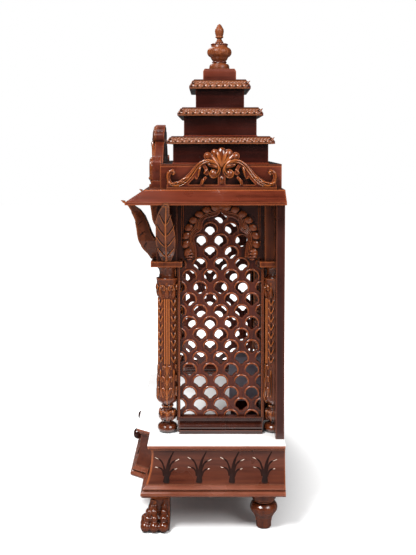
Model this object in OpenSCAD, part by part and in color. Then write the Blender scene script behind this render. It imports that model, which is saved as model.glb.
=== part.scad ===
// Pooja mandir: a carved and stained wooden house shrine, about 1.5 m high.
// It stands on two paw feet in front and two turned feet behind.  A moulded base holds a
// drawer, columns and pierced side screens carry a sloping eave, and a tower of three
// roofs ends in a melon finial.
// Millimetres.  Z is up, the open front looks along -Y, and the origin is at the bottom
// centre of the whole shrine, leaf tips included.

/* [Plan] */
// Half the distance between the two columns of one side and the other
col_x = 303; // [260:1:330]
// From the axis of the front columns to the back face of the back panel
col_to_back = 345; // [300:1:380]
// How far a carved leaf reaches out from the axis of its column
leaf_reach = 137; // [115:1:150]

/* [Base] */
// Height of the feet under the base
foot_h = 106; // [80:1:130]
// Half the width of the base, at the top of the hollow side boards
base_hw = 405; // [380:1:420]
// From the axis of the front columns forward to the base front
base_front = 41; // [35:1:60]
// Height of the stepped bottom moulding
plinth_h = 30; // [24:1:36]
// How far the bottom moulding stands out from the base boards
plinth_out = 31; // [22:1:34]
// Height of the hollow boards between the mouldings
panel_h = 100; // [80:1:120]
// How far a hollow board flares out at its foot
panel_flare = 15; // [8:1:18]
// Thickness of the base boards
board_t = 18; // [12:1:22]
// Height of the top moulding
crown_h = 13; // [10:1:18]
// How far the top moulding stands out from the base boards
crown_out = 11; // [6:1:14]
// Thickness of the white slab
slab_t = 4; // [3:0.5:8]

/* [Drawer bay] */
// Half the width of the flat front of the bay
bay_hw = 270; // [240:1:275]
// Run of each canted end along the front
bay_cant = 32; // [20:1:36]
// How far the bay stands out from the base front
bay_out = 43; // [30:1:50]
// Width of the fixed post beside the drawer front
bay_post = 12; // [8:1:20]
// Play round the drawer front
drawer_gap = 1.5; // [1:0.1:3]
// Depth of the drawer box behind its front
drawer_l = 300; // [220:1:320]
// Thickness of the drawer boards
drawer_t = 10; // [8:1:14]
// Height of the runners
runner_h = 13; // [8:1:16]
// Width of a runner
runner_w = 24; // [16:1:30]
// Play over the runners
runner_gap = 0.3; // [0.2:0.1:1]
// Distance of each knob from the middle
knob_x = 86; // [60:1:150]
// Height of the knobs over the foot of the drawer front
knob_up = 26; // [20:1:60]
// Radius of a knob
knob_r = 17.5; // [12:0.5:20]

/* [Columns] */
// Radius of the shaft
shaft_r = 27; // [22:0.5:29]
// Half the side of the square abacus
abacus_hw = 46; // [40:1:50]
// Thickness of the abacus
abacus_t = 16; // [9:1:18]
// Height of the abacus top over the slab
abacus_up = 519; // [480:1:540]
// Half the side of the square post above the abacus
post_hw = 30; // [24:1:34]
// Thickness of the back panel
back_t = 25; // [18:1:28]

/* [Side screens] */
// Thickness of the arched frame board
screen_t = 24; // [18:1:28]
// Thickness of the pierced panel
jali_t = 12; // [8:1:14]
// Height of the moulded sill under a screen
sill_h = 29; // [26:1:32]
// Half the width of the sill
sill_hw = 30; // [24:1:34]
// Width of the arched opening
arch_w = 166; // [156:1:176]
// Height of the opening's foot over the slab
arch_foot = 46; // [42:1:60]
// Height of the arch springing over the slab
spring_up = 532; // [515:1:545]
// Pitch of the pierced scales along a row
scale_w = 62.5; // [58:0.5:66]
// Pitch of the rows of scales
scale_h = 35.5; // [34:0.5:37]

// Radius of the round head of a scale
scale_r = 18; // [17:0.5:20]
// Width of the stile on each side of the open screen
stile_w = 9; // [7:0.5:12]

/* [Eave] */
// Height of the ceiling over the slab
ceiling_up = 720; // [700:1:740]
// Thickness of the ceiling board
ceiling_t = 12; // [9:1:18]
// Half the width of the ceiling board
ceiling_hw = 376; // [376:1:390]
// From the axis of the front columns forward to the ceiling edge
ceiling_front = 62; // [50:1:70]
// How far the eave boards slope out from the ceiling edge
eave_out = 51; // [40:1:60]
// Height of the sloping eave boards
eave_h = 33; // [26:1:40]
// Height of the lip along the eave's foot
lip_h = 8; // [5:1:12]
// Thickness of the eave boards
eave_t = 12; // [9:1:16]

/* [Tower] */
// Half the width of the frieze box
frieze_hw = 318; // [300:1:335]
// From the axis of the front columns forward to the frieze box
frieze_front = 20; // [10:1:30]
// Height of the frieze box with its white top board
frieze_h = 73; // [65:1:80]
// Thickness of the white top board
frieze_top_t = 6; // [4:1:10]
// From the back of the shrine to the axis of the tower
tower_in = 185; // [175:1:195]
// Wall of the hollow tower blocks
block_wall = 16; // [12:1:22]
// Half sizes and height of the lowest block
block0 = [280, 143, 60];
// Half sizes and height of the middle block
block1 = [205, 112.5, 64];
// Half sizes and height of the highest block
block2 = [130, 77, 62];
// Half sizes and height of the capping block
block3 = [60, 54, 42];
// Half sizes and height of the lowest roof at its eave
roof0 = [298.5, 161.5, 23];
// Half sizes and height of the middle roof at its eave
roof1 = [224, 131.5, 26];
// Half sizes and height of the highest roof at its eave
roof2 = [149, 96.5, 30];
// How far a roof draws in from its eave to its top
roof_in = 14; // [10:1:18]
// Height of the finial
finial_h = 154; // [140:1:170]
// Radius of the finial's melon
melon_r = 41; // [34:0.5:44]

/* [Crests] */
// Half the width of the crest on each side
crest_hw = 161; // [150:1:166]
// Height of the crest on each side
crest_h = 122; // [110:1:130]
// Thickness of a side crest
crest_t = 24; // [18:1:28]
// How much larger the front crest is
crest_front_scale = 1.62; // [1.5:0.01:1.7]
// Thickness of the front crest
crest_front_t = 34; // [26:1:38]

/* [Leaves] */
// Width of a carved leaf
leaf_w = 57; // [48:1:60]

/* [Inside] */
// Distance of the pedestal's middle from the shrine's axis
pedestal_x = 185; // [150:1:200]
// Width of the small pedestal inside
pedestal_w = 60; // [40:1:80]
// Depth of the pedestal
pedestal_d = 131; // [110:1:150]
// Height of the recessed foot under the pedestal
pedestal_foot_h = 62; // [50:1:80]
// Height of the pedestal over its foot
pedestal_h = 137; // [110:1:150]

/* [Hidden] */
$fn = 64;
fit = 0.3;
back_y = (leaf_reach + col_to_back) / 2;
col_y = back_y - col_to_back;
back_face = back_y - back_t;
tower_y = back_y - tower_in;
back_hw = ceiling_hw - 1;

z_plinth = foot_h;
z_panel = z_plinth + plinth_h;
z_crown = z_panel + panel_h;
z_slab = z_crown + crown_h;
z_floor = z_slab + slab_t;
z_abacus = z_floor + abacus_up;
z_ceiling = z_floor + ceiling_up;
z_deck = z_ceiling + ceiling_t;
z_frieze = z_deck + frieze_h;
z_roof0 = z_frieze + block0[2];
z_tier1 = z_roof0 + roof0[2];
z_roof1 = z_tier1 + block1[2];
z_tier2 = z_roof1 + roof1[2];
z_roof2 = z_tier2 + block2[2];
z_tier3 = z_roof2 + roof2[2];
z_finial = z_tier3 + block3[2];

front_y = col_y - base_front;
bay_y = front_y - bay_out;
frieze_y = col_y - frieze_front;
ceiling_y = col_y - ceiling_front;
jali_y0 = col_y + post_hw;
jali_y1 = back_face - post_hw;
jali_y = (jali_y0 + jali_y1) / 2;
screen_w = jali_y1 - jali_y0 - 2 * stile_w;
jali_in = stile_w / 2;
jali_foot = arch_foot - 12;
jali_h = spring_up + 150 - jali_foot;

drawer_z = z_panel + drawer_gap;
drawer_fh = panel_h - 2 * drawer_gap;
drawer_hw = bay_hw - bay_post - drawer_gap;
box_hw = drawer_hw - 20;
box_y0 = bay_y + board_t;
runner_z = z_plinth + board_t;
box_z = runner_z + runner_h + runner_gap;

// The plan line of the base boards, from the back on the left round to the back on the right
base_line = [
    [-base_hw, back_y],
    [-base_hw, front_y],
    [-bay_hw - bay_cant, front_y],
    [-bay_hw, bay_y],
    [bay_hw, bay_y],
    [bay_hw + bay_cant, front_y],
    [base_hw, front_y],
    [base_hw, back_y],
];

// Points of an arc about c from angle a to angle b
function arc(c, r, a, b, n = 6) =
    [for (i = [0:n]) c + r * [cos(a + (b - a) * i / n), sin(a + (b - a) * i / n)]];

// Outward unit normal of the plan segment from p to q
function normal(p, q) = let (d = (q - p) / norm(q - p)) [d[1], -d[0]];

// The mitre direction at point i of an open plan line
function mitre(path, i) =
    let (
        n = len(path),
        a = i == 0 ? normal(path[0], path[1]) : normal(path[i - 1], path[i]),
        b = i == n - 1 ? a : normal(path[i], path[i + 1])
    ) (a + b) / (1 + a * b);

// A profile of [out, up] points carried along a plan line with mitred corners
module moulding(path, profile) {
    n = len(profile);
    m = len(path);
    points = [
        for (i = [0:m - 1]) let (d = mitre(path, i))
            for (p = profile) [path[i][0] + p[0] * d[0], path[i][1] + p[0] * d[1], p[1]]
    ];
    sides = [
        for (i = [0:m - 2]) for (j = [0:n - 1]) let (k = (j + 1) % n)
            [i * n + j, i * n + k, (i + 1) * n + k, (i + 1) * n + j]
    ];
    start = [for (j = [n - 1:-1:0]) j];
    end = [for (j = [0:n - 1]) (m - 1) * n + j];
    polyhedron(points, concat([start], sides, [end]));
}

// A plan line pushed out by a distance
function pushed(path, d) = [for (i = [0:len(path) - 1]) path[i] + d * mitre(path, i)];

// The lower part of a four-sided pyramid, from half sizes a to half sizes b
module frustum(a, b, h) {
    points = [
        for (s = [[a, 0], [b, h]]) for (c = [[-1, -1], [1, -1], [1, 1], [-1, 1]])
            [c[0] * s[0][0], c[1] * s[0][1], s[1]]
    ];
    faces = [[0, 1, 2, 3], [7, 6, 5, 4], [4, 5, 1, 0], [5, 6, 2, 1], [6, 7, 3, 2], [7, 4, 0, 3]];
    polyhedron(points, faces);
}

// Section of a hollow board: a concave face that flares at the foot, a flat back
function cove(z, h) =
    concat(
        [[-board_t, z], [panel_flare, z], [panel_flare, z + 4]],
        [for (i = [1:8]) let (t = i / 8)
            [panel_flare * pow(1 - t, 2.2), z + 4 + (h - 10) * t]],
        [[2, z + h - 4], [2, z + h], [-board_t, z + h]]
    );

// Section of the stepped bottom moulding
function plinth_section() =
    concat(
        [[-board_t, z_plinth]],
        arc([plinth_out - 8, z_plinth + 8], 8, -90, 90, 6),
        arc([plinth_out - 12, z_plinth + 21], 5, -90, 60, 4),
        [[panel_flare + 1, z_panel], [-board_t, z_panel]]
    );

// Section of the top moulding
function crown_section() =
    concat(
        [[-board_t, z_crown], [crown_out - 6, z_crown]],
        arc([crown_out - 6, z_crown + crown_h - 6], 6, -60, 0, 4),
        [[crown_out, z_slab], [-board_t, z_slab]]
    );

module wood() color([0.43, 0.19, 0.12]) children();
module dark_wood() color([0.28, 0.08, 0.05]) children();
module pale() color([0.93, 0.92, 0.90]) children();

// A foot carved as a paw, standing diagonally under a front corner
module paw_foot(side) {
    x0 = base_hw - 52;
    x1 = base_hw + 34;
    y0 = front_y - 34;
    wood() mirror([side < 0 ? 1 : 0, 0, 0])
    union() {
        intersection() {
            translate([x0, y0 + 86, 0]) rotate([90, 0, 0]) linear_extrude(86) paw_profile();
            translate([x0, y0 + 86, 0]) mirror([0, 1, 0]) rotate([90, 0, 90])
                linear_extrude(86) paw_profile();
        }
        translate([x1 - 17, y0 + 17, 0]) rotate([0, 0, -45]) toe();
        for (k = [1, 2]) {
            translate([x1 - 15, y0 + 15 + 27 * k, 0]) toe();
            translate([x1 - 15 - 27 * k, y0 + 15, 0]) rotate([0, 0, -90]) toe();
        }
    }
}

// Side outline of a paw foot behind its toes, from the inner edge outwards
module paw_profile() {
    polygon(concat(
        [[0, 0], [64, 0], [62, 26], [52, 52], [50, 66]],
        arc([78, 76], 28, 180, 92, 8),
        [[80, foot_h - 2], [80, foot_h], [0, foot_h]]
    ));
}

// One toe: a round tip and three knuckles that climb towards the ankle
module toe() {
    for (k = [[0, 15, 15], [9, 34, 11.5], [16, 52, 9.5], [21, 68, 8]])
        translate([-k[0], 0, k[1]]) sphere(k[2]);
}

// A foot turned on the lathe, under a rear corner
module turned_foot(side) {
    shape = concat(
        [[0, 0], [20, 0], [22, 3], [22, 14], [25, 30]],
        arc([22, 59], 18, -50, 80, 8),
        [[30, 79], [30, 82], [33.5, 84], [35.5, 87], [35.5, foot_h], [0, foot_h]]
    );
    wood() translate([side * (base_hw - 20), back_y - 60, 0]) rotate_extrude() polygon(shape);
}

module base_plinth() wood() moulding(base_line, plinth_section());

module base_board() wood()
    translate([0, 0, z_plinth]) linear_extrude(board_t) polygon(pushed(base_line, -board_t - fit));

// A side board of the base
module base_side(side) wood() mirror([side < 0 ? 1 : 0, 0, 0])
    difference() {
        moulding([[bay_hw, front_y], [base_hw, front_y], [base_hw, back_y]], cove(z_panel, panel_h));
        corner_cut(1);
    }

// The space in front of the mitre line at a base corner
module corner_cut(keep) {
    translate([base_hw, front_y, z_panel - 1])
        rotate([0, 0, keep > 0 ? 135 : -45]) translate([-200, 0, 0]) cube([400, 400, panel_h + 2]);
}

// A front board of the base with the canted cheek of the bay
module base_front(side) wood() mirror([side < 0 ? 1 : 0, 0, 0])
    difference() {
        moulding(
            [
                [bay_hw - bay_post, bay_y], [bay_hw, bay_y], [bay_hw + bay_cant, front_y],
                [base_hw, front_y], [base_hw, front_y + 60],
            ],
            cove(z_panel, panel_h)
        );
        corner_cut(-1);
    }

module base_back() wood()
    translate([-base_hw + board_t + fit, back_y - board_t, z_panel])
        cube([2 * (base_hw - board_t - fit), board_t, panel_h]);

module base_crown() wood() {
    moulding(base_line, crown_section());
    translate([0, 0, z_crown + 3]) linear_extrude(crown_h - 3) polygon(pushed(base_line, -6));
}

module floor_slab() pale()
    translate([0, 0, z_slab]) linear_extrude(slab_t) polygon(pushed(base_line, crown_out));

module drawer_front() wood() difference() {
    moulding([[-drawer_hw, bay_y], [drawer_hw, bay_y]], cove(drawer_z, drawer_fh));
    for (s = [-1, 1]) translate([s * knob_x, bay_y + 8 + fit, drawer_z + knob_up])
        rotate([90, 0, 0]) cylinder(h = 60, r = 9 + fit);
}

module drawer_box() color([0.62, 0.46, 0.30]) {
    translate([-box_hw, box_y0, box_z]) difference() {
        cube([2 * box_hw, drawer_l, z_crown - 14 - box_z]);
        translate([drawer_t, drawer_t, drawer_t])
            cube([2 * (box_hw - drawer_t), drawer_l - 2 * drawer_t, panel_h]);
    }
}

module drawer_knob(side) dark_wood()
    translate([side * knob_x, bay_y + 8, drawer_z + knob_up]) rotate([90, 0, 0])
        rotate_extrude() polygon(concat(
            [[0, 0], [9, 0], [9, 20], [8, 25]], arc([3, 33], knob_r - 3, -50, 90, 8),
            [[0, 33 + knob_r - 3]]
        ));

module runner(side) color([0.62, 0.46, 0.30])
    translate([side * (box_hw - runner_w / 2) - runner_w / 2, box_y0 + 2, runner_z])
        cube([runner_w, back_y - board_t - box_y0 - 4, runner_h]);

module back_panel() wood()
    translate([-back_hw, back_face, z_floor]) cube([2 * back_hw, back_t, ceiling_up]);

// Turned outline of a column, from the slab to the foot of the abacus
function column_outline() =
    let (h = abacus_up - abacus_t, r = shaft_r)
    concat(
        [[0, 0]],
        arc([r - 9.5, 12.5], 12.5, -90, 90, 8),
        [[r - 14, 29]],
        arc([r - 18, 51], 18, -75, 75, 8),
        [[r - 13, 74], [r - 13, 80]],
        arc([r - 20, 104], 22, -75, 0, 6),
        [[r + 2, 140], [r, 180], [r, 196]],
        [[r, h - 90], [r + 1, h - 88], [r, h - 84], [r + 5, h - 44], [r + 6, h - 38]],
        [[r - 2, h - 36], [r - 3, h - 28], [r - 4, h - 26]],
        arc([r + 24, h - 24], 28, 180, 128, 6),
        [[r + 7, h], [0, h]]
    );

// A turned column with its square abacus; the turn is 360 for a whole one, 180 for a half
module column(turn) {
    h = abacus_up - abacus_t;
    difference() {
        rotate([0, 0, 180]) rotate_extrude(angle = turn) polygon(column_outline());
        for (a = [0:45:315]) rotate([0, 0, a + 22.5]) translate([shaft_r + 0.5, 0, 200])
            cylinder(h = h - 295, r = 2.5);
        for (a = [22.5:45:337.5]) rotate([0, 0, a]) translate([shaft_r + 4, 0, 32])
            cylinder(h = 38, r = 3.5);
    }
    difference() {
        translate([-abacus_hw, -abacus_hw, h])
            cube([2 * abacus_hw, turn < 360 ? abacus_hw : 2 * abacus_hw, abacus_t]);
        // the abacus is notched over the screen's frame
        translate([-screen_t / 2 - fit, turn < 360 ? -post_hw - fit - 40 : post_hw - fit, h - 1])
            cube([screen_t + 2 * fit, 40 + 2 * fit, abacus_t + 2]);
    }
}

module column_front(side) wood() translate([side * col_x, col_y, z_floor]) column(360);

// A half column with its half post, set on the face of the back panel
module column_rear(side) wood() {
    translate([side * col_x, back_face, z_floor]) column(180);
    translate([side * col_x - post_hw, back_face - post_hw, z_abacus])
        cube([2 * post_hw, post_hw, ceiling_up - abacus_up]);
}

module post_front(side) wood()
    translate([side * col_x - post_hw, col_y - post_hw, z_abacus])
        cube([2 * post_hw, 2 * post_hw, ceiling_up - abacus_up]);

// Outline of the screen's opening: an open field, then a cusped arch with an ogee tip
module screen_opening() {
    hw = arch_w / 2;
    translate([-screen_w / 2, arch_foot]) square([screen_w, spring_up - arch_foot - 8]);
    translate([-hw + 8, spring_up - 9]) square([2 * hw - 16, 40]);
    translate([-hw + 27, spring_up]) square([2 * hw - 54, 76]);
    for (s = [-1, 1]) {
        translate([s * (hw - 27), spring_up + 50]) circle(27);
        translate([s * (hw - 53), spring_up + 90]) circle(29);
    }
    translate([-hw + 53, spring_up + 60]) square([2 * hw - 106, 59]);
    polygon([
        [-hw + 49, spring_up + 116], [-20, spring_up + 121], [-8, spring_up + 127],
        [0, spring_up + 136], [8, spring_up + 127], [20, spring_up + 121],
        [hw - 49, spring_up + 116],
    ]);
}

// A sill moulding and an arched frame between the front column and the back panel
module screen_frame(side) wood() mirror([side < 0 ? 1 : 0, 0, 0]) {
    difference() {
        translate([col_x + screen_t / 2, jali_y, z_floor]) rotate([90, 0, -90])
            linear_extrude(screen_t) difference() {
                translate([jali_y0 - jali_y, 0]) square([jali_y1 - jali_y0, ceiling_up]);
                screen_opening();
            }
        for (y = [col_y, back_face]) translate([col_x, y, z_floor])
            cylinder(h = abacus_up - abacus_t, r = shaft_r + 7 + fit);
        translate([col_x - screen_t / 2 - 1, jali_y0 + jali_in, z_floor + jali_foot])
            cube([screen_t - jali_t + 2, jali_y1 - jali_y0 - 2 * jali_in, jali_h]);
    }
    translate([col_x, jali_y1 - fit - 6, z_floor]) rotate([90, 0, 0])
        linear_extrude(jali_y1 - jali_y0 - 2 * fit - 12) sill_section();
}

// Section of the sill: a flat fillet and a round moulding
module sill_section() {
    translate([-sill_hw, 0]) square([2 * sill_hw, 12]);
    translate([-sill_hw + 7, 12]) square([2 * sill_hw - 14, sill_h - 12]);
    for (s = [-1, 1]) translate([s * (sill_hw - 8), (sill_h + 12) / 2]) circle((sill_h - 12) / 2);
}

// The pierced panel with rows of scale-shaped holes
module jali(side) wood() mirror([side < 0 ? 1 : 0, 0, 0])
    translate([col_x + 1 - fit, jali_y, z_floor]) rotate([90, 0, -90])
        linear_extrude(jali_t) difference() {
            translate([jali_y0 - jali_y + jali_in + fit, jali_foot + fit])
                square([jali_y1 - jali_y0 - 2 * (jali_in + fit), jali_h - 2 * fit]);
            intersection() {
                for (row = [0:floor((jali_h - 34) / scale_h)]) for (k = [-3:3])
                    translate([(k + ((row + 1) % 2) / 2) * scale_w, arch_foot - 4 + row * scale_h])
                        scale_hole();
                translate([-screen_w / 2, arch_foot]) square([screen_w, jali_h - 30]);
            }
        }

// One pierced scale: a round head with hollow flanks that meet in a point
module scale_hole() {
    difference() {
        circle(scale_r);
        for (s = [-1, 1]) translate([s * scale_w / 2, -scale_h]) circle(scale_r + 15);
    }
}

// Front view of a leaf, from its foot on the abacus to the bent tip
module leaf_outline() {
    w = leaf_w / 2;
    polygon([
        [-12, 0], [-0.6 * w, 14], [-0.86 * w, 34], [-w, 62], [-w, 96], [-0.97 * w, 126],
        [-0.72 * w, 148], [-0.36 * w, 166], [-0.1 * w, 177], [0.1 * w, 180], [0.34 * w, 179],
        [0.44 * w, 170], [0.42 * w, 146], [0.62 * w, 128], [0.82 * w, 106], [0.97 * w, 82],
        [w, 60], [0.92 * w, 36], [0.66 * w, 14], [12, 0],
    ]);
}

// Side view of a leaf: reach from the column's axis, height over the abacus
module leaf_profile() {
    top = z_deck - eave_h - lip_h - z_abacus - fit;
    lip = max(ceiling_hw + fit + eave_out - col_x, ceiling_front + fit + eave_out) + fit;
    polygon([
        [post_hw + fit, 0], [42, 0], [47, 12], [56, 21], [64, 30], [71, 39], [77, 48], [82, 57],
        [85, 66], [87, 80], [89, 95], [91, 111], [93, 121], [97, 131], [102, 142], [110, 156],
        [118, 167], [lip + 5, top - 1], [leaf_reach, top + 7], [lip, top + 5], [lip, top],
        [101, top - 7], [80, 150], [66, 131],
        [55, 105], [46, 80], [38, 66], [post_hw + fit, 60],
    ]);
}

// A carved leaf that grows from the abacus and curls out under the eave
module leaf(side, angle) wood() mirror([side < 0 ? 1 : 0, 0, 0])
    translate([col_x, col_y, z_abacus]) rotate([0, 0, angle])
        intersection() {
            translate([0, leaf_w / 2, 0]) rotate([90, 0, 0]) linear_extrude(leaf_w) leaf_profile();
            rotate([90, 0, 90]) linear_extrude(leaf_reach + 5) leaf_outline();
        }

// The cusped arch board between the front posts
module front_arch() wood() {
    w = 2 * (col_x - post_hw);
    translate([0, col_y + 10, z_floor]) rotate([90, 0, 0]) linear_extrude(20) difference() {
        translate([-w / 2, abacus_up]) square([w, ceiling_up - abacus_up]);
        translate([0, abacus_up - 10]) for (s = [-1, 1]) {
            translate([s * (w / 2 - 84), 10]) circle(60);
            translate([s * (w / 2 - 150), 56]) circle(62);
        }
        translate([-w / 2 + 100, abacus_up - 1]) square([w - 200, 104]);
        translate([0, abacus_up + 90]) intersection() {
            translate([-110, -40]) circle(150);
            translate([110, -40]) circle(150);
        }
    }
}

module ceiling_board() wood()
    translate([-ceiling_hw, ceiling_y, z_ceiling])
        cube([2 * ceiling_hw, back_y - ceiling_y, ceiling_t]);

// Three sloping boards with a lip along the foot, mitred at the front corners
module eave_skirt() wood() {
    line = [
        [-ceiling_hw - fit, back_y], [-ceiling_hw - fit, ceiling_y - fit],
        [ceiling_hw + fit, ceiling_y - fit], [ceiling_hw + fit, back_y],
    ];
    section = [
        [0, z_ceiling + 2],
        [eave_out - eave_t, z_deck - eave_h],
        [eave_out - eave_t, z_deck - eave_h - lip_h],
        [eave_out, z_deck - eave_h - lip_h],
        [eave_out, z_deck - eave_h],
        [0, z_deck],
    ];
    moulding(line, section);
}

module frieze_box() wood()
    translate([0, 0, z_deck]) difference() {
        translate([-frieze_hw, frieze_y, 0])
            cube([2 * frieze_hw, back_y - 5 - frieze_y, frieze_h - frieze_top_t]);
        translate([-frieze_hw + 16, frieze_y + 16, -1])
            cube([2 * frieze_hw - 32, back_y - 37 - frieze_y, frieze_h]);
    }

module frieze_top() wood()
    translate([-frieze_hw, frieze_y, z_frieze - frieze_top_t])
        cube([2 * frieze_hw, back_y - 5 - frieze_y, frieze_top_t]);

// A carved band of changing width through points of [x, height, radius]
module band(points) {
    for (i = [0:len(points) - 2]) hull() for (p = [points[i], points[i + 1]])
        translate([p[0], p[1]]) circle(p[2], $fn = 24);
}

// Outline of a crest in the size of the side crest: a palmette over two scrolls with leafy
// tails, all standing on a rail
module crest_outline() {
    hw = crest_hw;
    translate([-hw, 0]) square([2 * hw, 13]);
    for (s = [-1, 1]) scale([s, 1]) {
        translate([23, 45]) circle(13);
        band([[6, 56, 5], [11, 71, 5.5], [26, 80, 5.5], [45, 82, 6], [65, 71, 7.5], [79, 54, 9],
            [92, 36, 10.5], [108, 21, 12], [126, 12, 11], [hw - 11, 10, 9]]);
        band([[hw - 10, 12, 8], [hw - 5, 30, 5], [hw - 6, 46, 5.5], [hw - 17, 53, 5.5]]);
        band([[64, 68, 6], [70, 50, 6.5], [74, 34, 4.5]]);
        band([[60, 8, 4], [56, 24, 4.5], [48, 33, 4]]);
        band([[55, 74, 4.5], [46, 60, 4.5], [44, 48, 7]]);
        for (p = [[20, crest_h - 16], [41, crest_h - 25]]) band([[3, 58, 8], [p[0], p[1], 11.5]]);
    }
    band([[0, 58, 9], [0, crest_h - 12, 12]]);
    band([[0, 8, 6], [0, 27, 8.5]]);
    translate([-11, 0]) square([22, 66]);
}

module crest_body(t) {
    linear_extrude(t) intersection() {
        crest_outline();
        translate([-crest_hw, 0]) square([2 * crest_hw, crest_h]);
    }
    translate([-crest_hw, 0, 0]) cube([2 * crest_hw, 6, t + 5]);
}

module crest_side(side) wood() mirror([side < 0 ? 1 : 0, 0, 0])
    translate([frieze_hw + fit, tower_y + 2, z_deck]) rotate([90, 0, 90]) crest_body(crest_t);

module crest_front() wood()
    translate([0, frieze_y - fit, z_deck]) rotate([90, 0, 0])
        scale([crest_front_scale, crest_front_scale, crest_front_t / crest_t])
            crest_body(crest_t - 5 * crest_t / crest_front_t);

// A hollow block with a sloping roof on it
module tower_tier(block, roof, z) dark_wood() {
    b = [block[0], block[1]];
    r = [roof[0], roof[1]];
    translate([0, tower_y, z]) difference() {
        union() {
            translate([-b[0], -b[1], 0]) cube([2 * b[0], 2 * b[1], block[2]]);
            frustum(b + [4, 4], b, 4);
            translate([0, 0, block[2]]) frustum(r, r - [roof_in, roof_in], roof[2]);
        }
        translate([-b[0] + block_wall, -b[1] + block_wall, -1])
            cube([2 * (b[0] - block_wall), 2 * (b[1] - block_wall), block[2]]);
    }
}

module tower_cap() dark_wood() translate([0, tower_y, z_tier3]) {
    translate([-block3[0], -block3[1], 0]) cube([2 * block3[0], 2 * block3[1], block3[2] - 9]);
    translate([0, 0, block3[2] - 9])
        frustum([block3[0], block3[1]], [block3[0] - 5, block3[1] - 5], 9);
}

// The finial: ring, beaded neck, ribbed melon, collar and bud
module finial() dark_wood() translate([0, tower_y, z_finial]) {
    k = finial_h / 154;
    scale([1, 1, k]) difference() {
        rotate_extrude() polygon(concat(
            [[0, 0], [33, 0], [34, 6], [33, 14], [30, 19], [23, 21], [21, 26], [22, 30], [26, 35]],
            arc([melon_r - 17, 59], 17, -70, 75, 8),
            [[26, 82], [26, 87], [13.5, 88], [13.5, 93], [10, 98], [7.5, 103], [9, 106], [13.3, 108]],
            [[13.3, 111], [11.5, 113], [14, 121], [15, 130], [14, 136], [11, 141], [6, 150], [0, 154]]
        ));
        for (a = [0:36:324]) rotate([0, 0, a]) translate([melon_r + 3, 0, 36])
            cylinder(h = 46, r = 5.5);
    }
}

// The small pedestal in the right-hand corner, a hollow box that stands on a recessed foot
module side_pedestal() color([0.52, 0.48, 0.52])
    translate([pedestal_x - pedestal_w / 2, back_face - pedestal_d, z_floor + pedestal_foot_h])
        difference() {
            cube([pedestal_w, pedestal_d, pedestal_h]);
            translate([10, 10, -1]) cube([pedestal_w - 20, pedestal_d - 20, pedestal_h - 9]);
        }

module pedestal_foot() dark_wood()
    translate([pedestal_x - pedestal_w / 2 + 4, back_face - pedestal_d + 4, z_floor])
        difference() {
            cube([pedestal_w - 8, pedestal_d - 4, pedestal_foot_h]);
            translate([14, 14, -1])
                cube([pedestal_w - 36, pedestal_d - 32, pedestal_foot_h + 2]);
        }

paw_foot(-1);  // paw_foot_left
paw_foot(1);  // paw_foot_right
turned_foot(-1);  // turned_foot_left
turned_foot(1);  // turned_foot_right
base_plinth();
base_board();
base_side(-1);  // base_side_left
base_side(1);  // base_side_right
base_front(-1);  // base_front_left
base_front(1);  // base_front_right
base_back();
base_crown();
floor_slab();
drawer_front();
drawer_box();
drawer_knob(-1);  // drawer_knob_left
drawer_knob(1);  // drawer_knob_right
runner(-1);  // runner_left
runner(1);  // runner_right
back_panel();
column_front(-1);  // column_front_left
column_front(1);  // column_front_right
column_rear(-1);  // column_rear_left
column_rear(1);  // column_rear_right
post_front(-1);  // post_front_left
post_front(1);  // post_front_right
screen_frame(-1);  // screen_frame_left
screen_frame(1);  // screen_frame_right
jali(-1);  // jali_left
jali(1);  // jali_right
leaf(-1, -90);  // leaf_front_left
leaf(1, -90);  // leaf_front_right
leaf(-1, 0);  // leaf_side_left
leaf(1, 0);  // leaf_side_right
front_arch();
ceiling_board();
eave_skirt();
frieze_box();
frieze_top();
crest_front();
crest_side(-1);  // crest_left
crest_side(1);  // crest_right
tower_tier(block0, roof0, z_frieze);  // tower_tier_0
tower_tier(block1, roof1, z_tier1);  // tower_tier_1
tower_tier(block2, roof2, z_tier2);  // tower_tier_2
tower_cap();
finial();
side_pedestal();
pedestal_foot();
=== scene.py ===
# %% [markdown]
# A pooja mandir is a small house shrine of stained and varnished wood. The construction model
# gives every board, column and roof at its real size. This script adds what a carver and a
# polisher add: leaf sprays, scrolls, petals and beads, and the finish of each surface. No board
# changes its size here. Every piece of carving is a mesh of its own that rides on the body of
# the board it belongs to, so the drawer takes its carving along when it slides.

# %% Load the construction model
import bpy
import bmesh
import math
from mathutils import Matrix, Vector


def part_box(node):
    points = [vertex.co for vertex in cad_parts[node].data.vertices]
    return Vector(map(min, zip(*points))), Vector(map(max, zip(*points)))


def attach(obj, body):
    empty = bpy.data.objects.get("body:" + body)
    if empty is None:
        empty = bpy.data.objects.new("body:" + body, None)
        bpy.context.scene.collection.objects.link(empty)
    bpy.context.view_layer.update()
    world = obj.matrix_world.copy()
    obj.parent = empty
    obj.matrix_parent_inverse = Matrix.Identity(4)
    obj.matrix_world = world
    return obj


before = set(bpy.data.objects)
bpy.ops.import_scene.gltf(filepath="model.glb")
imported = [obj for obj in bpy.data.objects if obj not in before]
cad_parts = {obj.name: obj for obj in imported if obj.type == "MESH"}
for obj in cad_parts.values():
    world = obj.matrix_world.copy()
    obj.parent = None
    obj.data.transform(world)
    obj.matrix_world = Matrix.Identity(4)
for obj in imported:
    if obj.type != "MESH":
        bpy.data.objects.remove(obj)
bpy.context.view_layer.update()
ROOT = "shrine"
MM = 0.001
print("nodes", len(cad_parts))

# %% [markdown]
# The camera stands level with the tower's foot, in front of the right-hand side. A real
# photographer keeps the camera level so that uprights stay upright, and shifts the lens. Here
# a slight tilt and a smaller shift give the same frame and keep the other views centred.

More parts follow.
